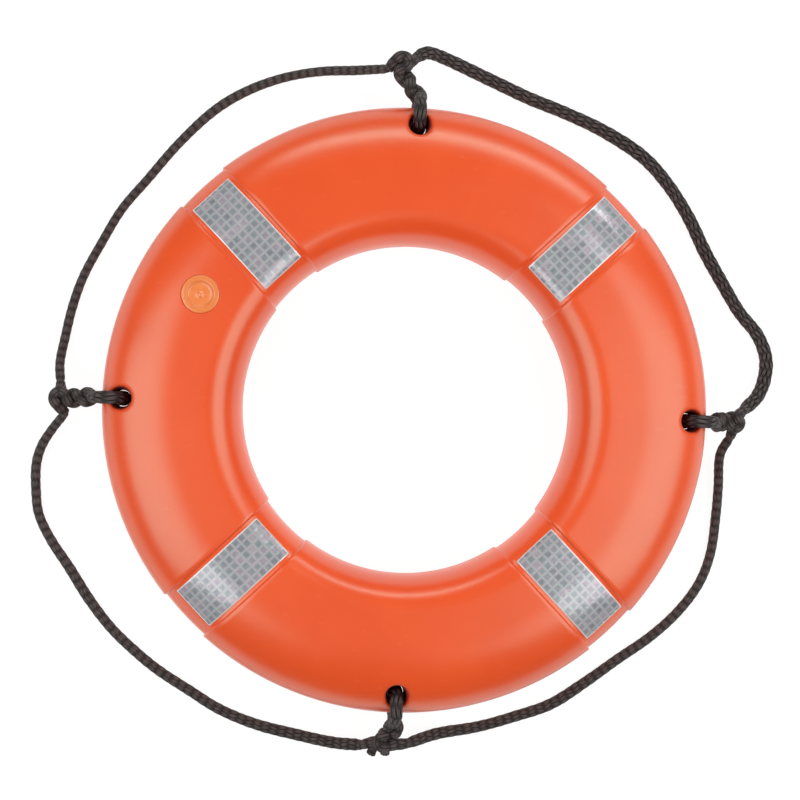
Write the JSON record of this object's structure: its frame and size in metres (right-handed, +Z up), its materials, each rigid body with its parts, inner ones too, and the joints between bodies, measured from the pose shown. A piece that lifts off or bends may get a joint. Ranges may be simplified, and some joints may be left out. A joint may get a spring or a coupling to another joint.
{
  "type": "ring lifebuoy",
  "caption": "Foam-filled plastic ring lifebuoy with reflective tape bands, moulded rope holes, a filling plug and a knotted grab line that swings in free bights.",
  "frame": {"origin": "centre of the ring, on the plane of its underside", "axes": "+Z up along the ring's axis, +X through the east rope hole, +Y through the north rope hole"},
  "size_m": [0.7596, 0.7254, 0.1005],
  "materials": {
    "shell": "semi-gloss orange moulded polyethylene",
    "foam": "closed-cell foam",
    "plug": "translucent light orange plastic",
    "tape": "prismatic retro-reflective film",
    "rope": "black braided line"
  },
  "bodies": {
    "ring": {"shell": "shell", "foam_core": "foam", "fill_plug": "plug", "tape_top_45": "tape", "tape_top_135": "tape", "tape_top_225": "tape", "tape_top_315": "tape", "tape_base_45": "tape", "tape_base_135": "tape", "tape_base_225": "tape", "tape_base_315": "tape", "hitch_north": "rope", "hitch_east": "rope", "hitch_south": "rope", "hitch_west": "rope", "rope_end_a": "rope", "rope_end_b": "rope"},
    "bight_45": {"becket_45": "rope"},
    "bight_315": {"becket_315": "rope"},
    "bight_225": {"becket_225": "rope"},
    "bight_135": {"becket_135": "rope"}
  },
  "joints": [
    {"name": "becket_45_swing", "type": "hinge", "parent": "ring", "child": "bight_45", "pos_m": [-0.003, 0.36, 0.032], "axis": [0.7132, -0.701, 0], "range_deg": [-100, 120]},
    {"name": "becket_315_swing", "type": "hinge", "parent": "ring", "child": "bight_315", "pos_m": [0.336, -0.014, 0.032], "axis": [-0.7016, -0.7126, 0], "range_deg": [-95, 110]},
    {"name": "becket_225_swing", "type": "hinge", "parent": "ring", "child": "bight_225", "pos_m": [-0.031, -0.342, 0.032], "axis": [-0.6925, 0.7214, 0], "range_deg": [-110, 125]},
    {"name": "becket_135_swing", "type": "hinge", "parent": "ring", "child": "bight_135", "pos_m": [-0.349, 0.013, 0.032], "axis": [0.6895, 0.7242, 0], "range_deg": [-110, 125]}
  ]
}
